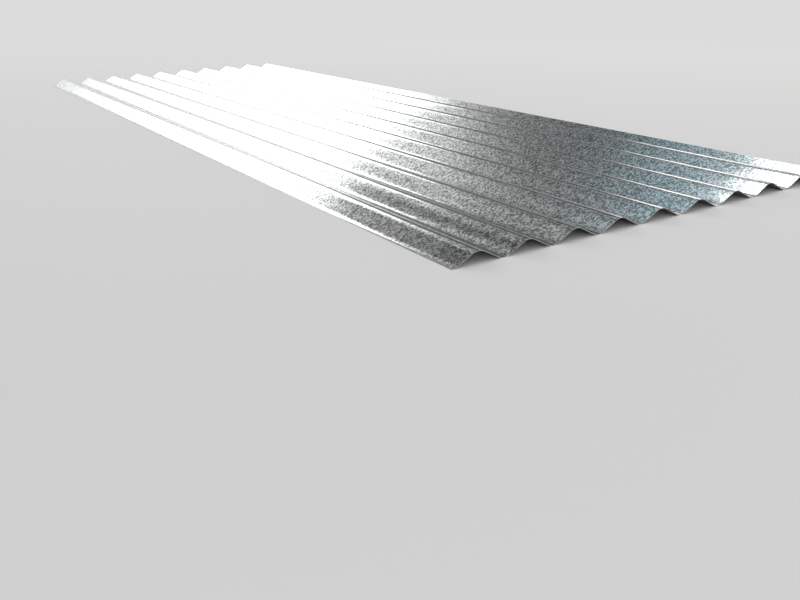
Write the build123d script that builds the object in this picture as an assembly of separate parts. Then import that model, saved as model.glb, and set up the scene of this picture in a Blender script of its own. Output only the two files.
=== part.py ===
from build123d import *
import os
from math import asin, atan2, ceil, degrees, hypot

# A corrugated steel sheet: one thin galvanised strip, rolled into round waves that run its whole
# length. X is across the waves, Y is along them and Z is up. The sheet lies on its valleys, with
# the origin under its middle. Its left edge is a valley, and its right edge is cut to the width.

# Driving dimensions, in millimetres
length = 2100.0  # along the waves
overall_width = 714.0  # straight across the waves, from edge to edge
pitch = 76.2  # from one crest to the next
overall_depth = 16.0  # from the underside of a valley to the top of a crest
thickness = 0.5  # of the steel with its zinc
inside_radius = 18.0  # of every bend, on its hollow side
least_flank = 2.0  # straight steel that is always left between two bends

# The middle surface: equal bends, joined by the straight flanks that touch both
half_pitch = pitch / 2
half_waves = ceil(overall_width / half_pitch)
wave_height = overall_depth - thickness
roundest_bend = (half_pitch**2 + wave_height**2 - least_flank**2) / (4 * wave_height)
bend_radius = min(inside_radius + thickness / 2, roundest_bend)
valley_centre = thickness / 2 + bend_radius
crest_centre = overall_depth - thickness / 2 - bend_radius
centre_rise = valley_centre - crest_centre
flank_slope = degrees(
    asin(2 * bend_radius / hypot(half_pitch, centre_rise)) - atan2(centre_rise, half_pitch)
)


def half_bend(number, side, lift):
    """An arc from the line of a valley (even numbers) or a crest (odd ones) out to its flank.

    The side is -1 for the flank on the left and 1 for the right. The arc lies lift above the
    middle surface, so a crest's gets wider with it, and a valley's narrower.
    """
    x = number * half_pitch
    if number % 2:
        return CenterArc((x, crest_centre), bend_radius + lift, 90, -side * flank_slope)
    return CenterArc((x, valley_centre), bend_radius - lift, 270, side * flank_slope)


def wave_line(lift):
    """One face of the sheet from left to right: half a bend, a flank and half a bend, repeated."""
    line = []
    for number in range(half_waves):
        leaving = half_bend(number, 1, lift)
        arriving = half_bend(number + 1, -1, lift)
        line += [leaving, Line(leaving @ 1, arriving @ 1), arriving]
    return line


def section():
    """The sheet's cross-section, from its first valley line to where its width is cut."""
    upper = wave_line(thickness / 2)
    lower = wave_line(-thickness / 2)
    edges = [Line(lower[end] @ 0, upper[end] @ 0) for end in (0, -1)]
    waves = make_face(upper + lower + edges)
    return split(waves, bisect_by=Plane.YZ.offset(overall_width), keep=Keep.BOTTOM)


# Uncleaned, so that each crest and valley keeps its line as an edge along the sheet
far_end = Plane.XZ.offset(-length / 2)
placed_section = far_end * Pos(-overall_width / 2, 0) * section()
corrugated_sheet = extrude(placed_section, amount=length, clean=False)

os.makedirs("parts", exist_ok=True)
export_step(corrugated_sheet, "parts/corrugated_sheet.step")
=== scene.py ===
"""A galvanised corrugated steel sheet lying on a pale studio floor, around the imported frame."""

import math

import bpy
import numpy as np
from mathutils import Matrix, Vector


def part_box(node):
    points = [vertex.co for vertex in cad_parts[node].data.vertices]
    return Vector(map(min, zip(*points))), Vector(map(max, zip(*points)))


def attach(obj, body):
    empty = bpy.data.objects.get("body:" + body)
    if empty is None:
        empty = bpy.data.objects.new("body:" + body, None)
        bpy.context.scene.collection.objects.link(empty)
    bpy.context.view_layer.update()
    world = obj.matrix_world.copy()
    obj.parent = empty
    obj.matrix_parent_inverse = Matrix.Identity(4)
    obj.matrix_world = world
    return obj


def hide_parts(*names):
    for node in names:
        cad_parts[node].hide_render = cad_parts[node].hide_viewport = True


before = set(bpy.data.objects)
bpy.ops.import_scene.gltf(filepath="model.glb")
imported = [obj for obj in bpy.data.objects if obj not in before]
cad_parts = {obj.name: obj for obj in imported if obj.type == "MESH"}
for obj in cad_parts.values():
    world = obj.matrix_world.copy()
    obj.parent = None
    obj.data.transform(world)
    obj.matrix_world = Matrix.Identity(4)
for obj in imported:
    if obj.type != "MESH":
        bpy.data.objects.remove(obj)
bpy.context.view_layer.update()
sheet_low, sheet_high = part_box("corrugated_sheet")

# The sheet, in metres. Its outside sizes come from the frame.
sheet_width = sheet_high.x - sheet_low.x
sheet_length = sheet_high.y - sheet_low.y
sheet_depth = sheet_high.z - sheet_low.z
pitch = 0.0762
thickness = 0.0005
inside_radius = 0.018

# The wave's mid-line: two arcs and the straight flank that is tangent to both make each half wave.
half_pitch = pitch / 2
bend_radius = inside_radius + thickness / 2
line_rise = sheet_depth - thickness
centre_rise = 2 * bend_radius - line_rise
flank_slope = (
    math.asin(2 * bend_radius / math.hypot(half_pitch, centre_rise))
    - math.atan2(centre_rise, half_pitch)
)
bend_run = bend_radius * flank_slope
flank_run = (half_pitch - 2 * bend_radius * math.sin(flank_slope)) / math.cos(flank_slope)
half_run = 2 * bend_run + flank_run

# How finely the mesh is divided, and the angle past which an edge looks sharp.
bend_steps = 5
flank_steps = 3
length_steps = 150
edge_search_steps = 20000
least_column_gap = 1e-5
rounding = 1e-9
sharp_angle = math.radians(40)

# The slight unevenness of a rolled sheet. Each slow wave has its length and where it starts, in radians.
flank_bulge = 0.00022
flank_shift = 2.4
bulge_waves = ((0.83, 0.0), (0.37, 1.9), (0.21, 4.1))

# The sizes of the finish's patterns: zinc crystals, the grain in them, patches, sheen and forming lines.
crystal_size = 0.0024
grains_across_crystal = 2.2
patch_size = 0.018
cloud_size = 0.14
sheen_size = 0.015
forming_line_gap = 0.0021
tear_size = 1 / 900

# Where each pattern starts and stops counting, from 0 to 1.
chance_range = (0.05, 0.95)
forming_line_range = (0.55, 0.72)
sheen_range = (0.35, 0.65)
tear_range = (0.45, 0.7)

# How far each pattern takes the zinc from its dark to its light shade. Bends show the crystals less.
first_chance_weight = 1.04
second_chance_weight = 0.28
middle_chance = 0.68
patch_weight = 0.10
cloud_weight = 0.16
forming_line_weight = 0.15
bend_calm = 0.8

# The relief, in metres, and how far each crystal leans.
relief_strength = 0.12
relief_depth = 0.0002
grain_relief = 0.6
forming_line_relief = 0.5
crystal_tilt = 0.006

# The zinc shines in two ways at once: a sharp mirror, and a share of a duller one.
mirror_roughness = 0.10
dull_roughness = 0.28
least_dull = 0.27
more_dull = 0.10
edge_roughness = 0.30
tear_roughness = 0.3

dark_zinc = (0.282, 0.286, 0.277, 1.0)
light_zinc = (0.945, 0.957, 0.938, 1.0)
teal_sheen = (0.925, 1.0, 0.985, 1.0)
violet_sheen = (0.985, 0.96, 1.01, 1.0)
sheared_steel = (0.66, 0.67, 0.67, 1.0)
white = (1.0, 1.0, 1.0, 1.0)

# The camera, measured from the sheet's near left corner.
eye_left = 0.530
eye_before = 0.737
eye_height = 0.322
eye_turn = math.radians(31.98)
eye_tilt = math.radians(21.50)
eye_roll = math.radians(-1.32)
lens_length = 38.2
sensor_width = 36.0

# The floor: lit like any other up to lit_floor metres away, and as pale as the horizon past plain_floor.
floor_reach = 30.0
floor_colour = (0.79, 0.79, 0.78, 1.0)
floor_roughness = 0.85
lit_floor = 1.2
plain_floor = 2.6

# The walls' light, where 1 is white, and the share of it that each dim zone takes away.
wall_level = 0.72
horizon_level = 0.71
ahead_dimming = 0.60
high_right_dimming = 0.62
low_right_dimming = 0.90
strip_dimming = 0.97
left_dimming = 0.95
cool_light = (0.69, 1.0, 1.16, 1.0)

# Where the horizon ends and the dim strip begins, as heights on a sphere of radius 1, and the strip's sides.
horizon_top = (0.09, 0.16)
strip_foot = (0.30, 0.42)
strip_sides = (0.019, 0.035)


class Wire:
    """A node's output. Python's operators on it add Math nodes, so a formula reads as it is written."""

    def __init__(self, tree, socket=None):
        self.tree = tree
        self.socket = socket

    def node(self, kind, settings=None, inputs=None, output=0):
        """Adds a node: its settings first, then its sockets' values or links."""
        made = self.tree.nodes.new(kind)
        for name, value in (settings or {}).items():
            setattr(made, name, value)
        for name, value in (inputs or {}).items():
            if isinstance(value, Wire):
                self.tree.links.new(value.socket, made.inputs[name])
            else:
                made.inputs[name].default_value = value
        if made.outputs:
            return Wire(self.tree, made.outputs[output])
        return made

    def maths(self, operation, *values, clamp=False):
        settings = {"operation": operation, "use_clamp": clamp}
        return self.node("ShaderNodeMath", settings, dict(enumerate(values)))

    def __add__(self, other):
        return self.maths("ADD", self, other)

    def __radd__(self, other):
        return self.maths("ADD", other, self)

    def __sub__(self, other):
        return self.maths("SUBTRACT", self, other)

    def __rsub__(self, other):
        return self.maths("SUBTRACT", other, self)

    def __mul__(self, other):
        return self.maths("MULTIPLY", self, other)

    def __rmul__(self, other):
        return self.maths("MULTIPLY", other, self)

    def vector(self, operation, *values):
        return self.node("ShaderNodeVectorMath", {"operation": operation}, dict(enumerate(values)))

    def part(self, name):
        """One of the other outputs of the same node."""
        return Wire(self.tree, self.socket.node.outputs[name])

    def mix(self, first, second, factor, blend="MIX"):
        """A blend of two colours, from the first at 0 to the second at 1."""
        settings = {"data_type": "RGBA", "blend_type": blend, "clamp_factor": True}
        return self.node("ShaderNodeMix", settings, {0: factor, 6: first, 7: second}, output=2)

    def between(self, low, high):
        """0 below low, 1 above high, and a soft step from one to the other."""
        settings = {"interpolation_type": "SMOOTHSTEP"}
        return self.node("ShaderNodeMapRange", settings, {0: self, 1: low, 2: high})

    def noise(self, size, detail):
        """Soft lumps of about the size given, in metres, at the place that this output gives."""
        return self.node("ShaderNodeTexNoise", {}, {"Vector": self, "Scale": 1 / size, "Detail": detail})

    def saved(self, name):
        """The number that the mesh keeps under a name."""
        return self.node("ShaderNodeAttribute", {"attribute_name": name}, {}, output=2)


def new_tree(owner):
    """An empty node tree on a material or world, as a Wire to build from."""
    owner.use_nodes = True
    owner.node_tree.nodes.clear()
    return Wire(owner.node_tree)


def galvanised_steel():
    """Zinc crystals of a few millimetres on rolled steel, each tilted and shaded its own way.

    A crystal's shade comes from its own two chances, with soft patches and lighter forming lines along the
    bends. The surface is a sharp mirror mixed with a share of a duller one, which is larger on pale crystals.
    """
    material = bpy.data.materials.new("galvanised_steel")
    start = new_tree(material)
    place = start.node("ShaderNodeTexCoord").part("Object")

    cells = {"Vector": place, "Scale": 1 / crystal_size}
    crystal = start.node("ShaderNodeTexVoronoi", {}, cells, output=1)
    chances = start.node("ShaderNodeSeparateColor", {}, {0: crystal})
    first_chance = chances.between(*chance_range)
    second_chance = chances.part("Green")

    patch = place.noise(patch_size, 3.0)
    cloud = place.noise(cloud_size, 2.0)
    grain = place.noise(crystal_size / grains_across_crystal, 1.0)
    sheen = place.noise(sheen_size, 1.0)

    bend = start.saved("bend")
    across = start.saved("across")
    along_lines = {"W": across, "Scale": 1 / forming_line_gap, "Detail": 2.0}
    lines = start.node("ShaderNodeTexNoise", {"noise_dimensions": "1D"}, along_lines)
    forming_lines = lines.between(*forming_line_range) * bend

    calm = 1 - bend_calm * bend
    chance = first_chance_weight * first_chance + second_chance_weight * second_chance
    lightness = 0.5 + (chance - middle_chance) * calm
    lightness = lightness + patch_weight * (patch - 0.5) + cloud_weight * (cloud - 0.5)
    lightness = lightness.maths("ADD", lightness, forming_line_weight * forming_lines, clamp=True)
    tone = start.mix(teal_sheen, violet_sheen, sheen.between(*sheen_range))
    zinc = start.mix(start.mix(dark_zinc, light_zinc, lightness), tone, 1.0, "MULTIPLY")

    height = grain_relief * grain + forming_line_relief * forming_lines
    bumps = {"Strength": relief_strength, "Distance": relief_depth, "Height": height}
    relief = start.node("ShaderNodeBump", {}, bumps)
    lean = start.vector("SUBTRACT", crystal, (0.5, 0.5, 0.5))
    tilt = start.node("ShaderNodeVectorMath", {"operation": "SCALE"}, {0: lean, "Scale": crystal_tilt * calm})
    facing = start.vector("NORMALIZE", start.vector("ADD", relief, tilt))

    both = {"Base Color": zinc, "Metallic": 1.0, "Normal": facing}
    mirror = start.node("ShaderNodeBsdfPrincipled", {}, {**both, "Roughness": mirror_roughness})
    dull = start.node("ShaderNodeBsdfPrincipled", {}, {**both, "Roughness": dull_roughness})
    dull_share = least_dull + more_dull * first_chance * calm
    finish = start.node("ShaderNodeMixShader", {}, {0: dull_share, 1: mirror, 2: dull})
    start.node("ShaderNodeOutputMaterial", {}, {"Surface": finish})
    return material


def sheared_edge():
    """The raw cut of the steel around the rim."""
    material = bpy.data.materials.new("sheared_edge")
    start = new_tree(material)
    tear = start.node("ShaderNodeTexCoord").part("Object").noise(tear_size, 2.0)
    colour = start.mix(sheared_steel, light_zinc, tear.between(*tear_range))
    roughness = edge_roughness + tear_roughness * tear
    steel = {"Base Color": colour, "Metallic": 1.0, "Roughness": roughness}
    finish = start.node("ShaderNodeBsdfPrincipled", {}, steel)
    start.node("ShaderNodeOutputMaterial", {}, {"Surface": finish})
    return material


def half_wave(run):
    """The rising half wave's mid-line at a distance along it from the valley: across, height and slope.

    The first stretch is an arc about the valley's centre, where the slope is the distance over the radius.
    The last is the same arc turned over at the crest, and the flank between them is straight.
    """
    left_run = np.minimum(run, bend_run)
    right_run = np.minimum(half_run - run, bend_run)
    straight = np.clip(run - bend_run, 0, flank_run)
    left_slope = left_run / bend_radius
    right_slope = right_run / bend_radius
    before_crest = run < half_run - bend_run
    across_low = bend_radius * np.sin(left_slope) + straight * math.cos(flank_slope)
    height_low = bend_radius * (1 - np.cos(left_slope)) + straight * math.sin(flank_slope)
    across_high = half_pitch - bend_radius * np.sin(right_slope)
    height_high = line_rise - bend_radius * (1 - np.cos(right_slope))
    across = np.where(before_crest, across_low, across_high)
    height = np.where(before_crest, height_low, height_high)
    slope = np.where(before_crest, left_slope, right_slope)
    return across, height, slope


def wave(run):
    """The whole wave's mid-line at a distance along it: each second half wave is the first turned over."""
    number = np.floor(run / half_run + rounding)
    across, height, slope = half_wave(run - number * half_run)
    falling = number % 2 == 1
    height = np.where(falling, line_rise - height, height)
    slope = np.where(falling, -slope, slope)
    return across + number * half_pitch, height, slope


def stations():
    """Distances along the mid-line where the mesh has a column, up to the sheet's cut right edge."""
    bend = np.linspace(0, bend_run, bend_steps + 1)
    flank = bend_run + np.linspace(0, flank_run, flank_steps + 1)
    one_half = np.concatenate([bend[:-1], flank[:-1], half_run - bend[::-1][:-1]])
    halves = math.ceil(sheet_width / half_pitch)
    runs = (np.arange(halves)[:, None] * half_run + one_half).ravel()
    fine = np.linspace(0, halves * half_run, edge_search_steps)
    last = np.interp(sheet_width, wave(fine)[0], fine)
    return np.append(runs[runs < last - least_column_gap], last)


def bulge(run, along):
    """How far each flank stands off its true plane.

    Slow sine waves along the flank are summed, shifted from flank to flank, and scaled by the squared sine
    of the distance across it, which is nought at every crest and valley.
    """
    flank = np.floor(run / half_run)
    reach = np.sin(np.pi * (run / half_run - flank)) ** 2
    turn = flank_shift * flank
    total = 0
    for span, first in bulge_waves:
        total = total + np.sin(2 * np.pi * along / span + turn * (1 + first) + first)
    return flank_bulge * reach * total / len(bulge_waves)


def save_values(mesh, name, values):
    """Stores one number for each point of the mesh under a name that its material can read."""
    attribute = mesh.attributes.new(name, "FLOAT", "POINT")
    attribute.data.foreach_set("value", values.astype(np.float32))


def sheet_piece():
    """The sheet's two faces and rim. A face is the mid-line moved half the thickness along its normal.

    The mesh keeps two numbers for its material. One is across, the distance along the wave. The other is
    bend, the square of 1 less the slope over the flanks' slope: 1 at a crest or valley and 0 on a flank.
    """
    run = stations()
    across, height, slope = wave(run)
    lean = np.sin(slope)
    rise = np.cos(slope)
    # The right edge is cut upright, so its points move straight up and down.
    lean[-1] = 0
    rise[-1] = 1 / math.cos(slope[-1])
    along = np.linspace(0, sheet_length, length_steps + 1)
    run_grid, along_grid = np.meshgrid(run, along)
    stand = bulge(run_grid, along_grid)

    def face(side):
        offset = side * thickness / 2 + stand
        x = sheet_low.x + across - lean * offset
        y = sheet_low.y + along_grid
        z = sheet_low.z + thickness / 2 + height + rise * offset
        return np.stack([x, y, z], axis=-1).reshape(-1, 3)

    columns = len(run)
    rows = len(along)
    points = np.concatenate([face(1), face(-1)])
    number = np.arange(rows * columns).reshape(rows, columns)
    under = number + rows * columns

    def strip(first, second, third, fourth):
        return np.stack([first, second, third, fourth], axis=-1).reshape(-1, 4)

    top = strip(number[:-1, :-1], number[:-1, 1:], number[1:, 1:], number[1:, :-1])
    bottom = strip(under[:-1, :-1], under[1:, :-1], under[1:, 1:], under[:-1, 1:])
    near = strip(under[0, :-1], under[0, 1:], number[0, 1:], number[0, :-1])
    far = strip(under[-1, 1:], under[-1, :-1], number[-1, :-1], number[-1, 1:])
    left = strip(under[1:, 0], under[:-1, 0], number[:-1, 0], number[1:, 0])
    right = strip(under[:-1, -1], under[1:, -1], number[1:, -1], number[:-1, -1])
    faces = np.concatenate([top, bottom, near, far, left, right])
    rim_start = len(top) + len(bottom)

    mesh = bpy.data.meshes.new("corrugated_steel")
    mesh.from_pydata(points.tolist(), [], faces.tolist())
    mesh.materials.append(galvanised_steel())
    mesh.materials.append(sheared_edge())
    kinds = np.zeros(len(faces), dtype=np.int32)
    kinds[rim_start:] = 1
    mesh.polygons.foreach_set("material_index", kinds)
    mesh.polygons.foreach_set("use_smooth", np.ones(len(faces), dtype=bool))
    mesh.set_sharp_from_angle(angle=sharp_angle)

    steepness = np.broadcast_to(np.abs(slope), run_grid.shape)
    bend = np.clip(1 - steepness / flank_slope, 0, 1) ** 2
    save_values(mesh, "across", np.tile(run_grid.ravel(), 2))
    save_values(mesh, "bend", np.tile(bend.ravel(), 2))
    mesh.validate()
    mesh.update()
    piece = bpy.data.objects.new("corrugated_steel", mesh)
    bpy.context.scene.collection.objects.link(piece)
    return piece


def studio_floor():
    """A plain pale floor. Far off it shines as pale as the horizon, so no edge shows between them."""
    corners = [(-1, -1), (1, -1), (1, 1), (-1, 1)]
    points = [(x * floor_reach, y * floor_reach, sheet_low.z) for x, y in corners]
    mesh = bpy.data.meshes.new("studio_floor")
    mesh.from_pydata(points, [], [(0, 1, 2, 3)])
    material = bpy.data.materials.new("studio_floor")
    start = new_tree(material)
    place = start.node("ShaderNodeTexCoord").part("Object")
    far = start.vector("LENGTH", place).part("Value").between(lit_floor, plain_floor)
    paint = {"Base Color": floor_colour, "Roughness": floor_roughness}
    painted = start.node("ShaderNodeBsdfPrincipled", {}, paint)
    shining = start.node("ShaderNodeEmission", {}, {"Color": white, "Strength": horizon_level})
    surface = start.node("ShaderNodeMixShader", {}, {0: far, 1: painted, 2: shining})
    start.node("ShaderNodeOutputMaterial", {}, {"Surface": surface})
    mesh.materials.append(material)
    floor = bpy.data.objects.new("studio_floor", mesh)
    bpy.context.scene.collection.objects.link(floor)
    return floor


def soft_box(name, centre, target, size, level, turn=0):
    """A rectangular lamp, turned in degrees about its aim, whose face shines at the level: 1 is white."""
    width, height = size
    lamp = bpy.data.lights.new(name, "AREA")
    lamp.shape = "RECTANGLE"
    lamp.size = width
    lamp.size_y = height
    lamp.energy = level * math.pi * width * height
    holder = bpy.data.objects.new(name, lamp)
    aim = Vector(target) - Vector(centre)
    aimed = aim.to_track_quat("-Z", "Y").to_matrix().to_4x4()
    turned = Matrix.Rotation(math.radians(turn), 4, "Z")
    holder.matrix_world = Matrix.Translation(centre) @ aimed @ turned
    holder.visible_camera = False
    bpy.context.scene.collection.objects.link(holder)


def studio_lamps():
    """A wide box far ahead, a small bright one overhead under a large dim one, and a strip on the right."""
    soft_box(
        "far_box",
        centre=(1.2, 14.0, 6.26),
        target=(1.2, 0.0, 6.26),
        size=(10.4, 4.91),
        level=2.65,
        turn=-12,
    )
    soft_box(
        "overhead_box",
        centre=(2.90, 2.19, 6.0),
        target=(2.90, 2.19, 0.0),
        size=(3.01, 2.37),
        level=2.10,
    )
    soft_box(
        "ceiling_box",
        centre=(4.45, -0.31, 6.1),
        target=(4.45, -0.31, 0.0),
        size=(6.11, 7.37),
        level=0.70,
    )
    soft_box(
        "side_strip",
        centre=(7.5, 4.95, 2.9),
        target=(0.0, -1.0, 0.0),
        size=(1.5, 3.4),
        level=1.90,
    )


def direction_of(azimuth, elevation):
    """The way that lies at an azimuth from +Y towards +X and an elevation, both in degrees."""
    turn = math.radians(azimuth)
    lift = math.radians(elevation)
    return math.sin(turn) * math.cos(lift), math.cos(turn) * math.cos(lift), math.sin(lift)


def studio_walls():
    """The world: plain walls over a pale horizon, with the dim zones that give the sheet its contrast.

    One zone is ahead, one on the left, two on the right, and a narrow one is an upright strip. A cool light
    lies high on the right.
    """
    world = bpy.data.worlds.new("studio_walls")
    bpy.context.scene.world = world
    start = new_tree(world)
    direction = start.node("ShaderNodeTexCoord").part("Generated")
    up = start.node("ShaderNodeSeparateXYZ", {}, {0: direction}).part("Z")

    def near_to(azimuth, elevation, inner, outer):
        """1 within the inner angle of a way, 0 outside the outer one, all in degrees."""
        closeness = start.vector("DOT_PRODUCT", direction, direction_of(azimuth, elevation)).part("Value")
        return closeness.between(math.cos(math.radians(outer)), math.cos(math.radians(inner)))

    def beside(first, second):
        """How far a direction lies beside the great circle through two ways: the sine of the angle."""
        across = tuple(Vector(first).cross(Vector(second)).normalized())
        off_circle = start.vector("DOT_PRODUCT", direction, across).part("Value")
        return off_circle.maths("ABSOLUTE", off_circle)

    strip = 1 - beside(direction_of(3.9, 31), direction_of(5.62, 43)).between(*strip_sides)
    strip = strip * up.between(*strip_foot) * near_to(azimuth=5, elevation=40, inner=30, outer=40)
    ahead = near_to(azimuth=16, elevation=41, inner=1.5, outer=7.5)
    left = near_to(azimuth=-31.3, elevation=44.6, inner=22, outer=30)
    high_right = near_to(azimuth=34, elevation=39.5, inner=8.5, outer=20)
    low_right = near_to(azimuth=50, elevation=8, inner=18, outer=28)

    walls = wall_level * (1 - ahead_dimming * ahead) * (1 - left_dimming * left)
    walls = walls * (1 - high_right_dimming * high_right) * (1 - low_right_dimming * low_right)
    walls = walls * (1 - strip_dimming * strip)
    horizon = 1 - up.between(*horizon_top)
    level = walls + horizon * (horizon_level - walls)
    tone = start.mix(white, cool_light, near_to(azimuth=28, elevation=52, inner=5, outer=13))
    back = start.node("ShaderNodeBackground", {}, {"Color": tone, "Strength": level})
    start.node("ShaderNodeOutputWorld", {}, {"Surface": back})


def place_camera():
    """The camera stands off the sheet's near left corner and looks along it, down and to the right."""
    eye = Vector((sheet_low.x - eye_left, sheet_low.y - eye_before, sheet_low.z + eye_height))
    forward = Vector((
        math.sin(eye_turn) * math.cos(eye_tilt),
        math.cos(eye_turn) * math.cos(eye_tilt),
        -math.sin(eye_tilt),
    ))
    level_right = Vector((math.cos(eye_turn), -math.sin(eye_turn), 0))
    level_up = level_right.cross(forward)
    right = level_right * math.cos(eye_roll) + level_up * math.sin(eye_roll)
    up = level_up * math.cos(eye_roll) - level_right * math.sin(eye_roll)
    data = bpy.data.cameras.new("camera")
    data.lens = lens_length
    data.sensor_width = sensor_width
    data.clip_start = 0.01
    data.clip_end = 200
    camera = bpy.data.objects.new("camera", data)
    turned = Matrix((right, up, -forward)).transposed().to_4x4()
    camera.matrix_world = Matrix.Translation(eye) @ turned
    bpy.context.scene.collection.objects.link(camera)
    bpy.context.scene.camera = camera


sheet = sheet_piece()
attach(sheet, "root")
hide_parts("corrugated_sheet")
studio_floor()

studio_walls()
studio_lamps()
place_camera()
bpy.context.scene.view_settings.view_transform = "Standard"
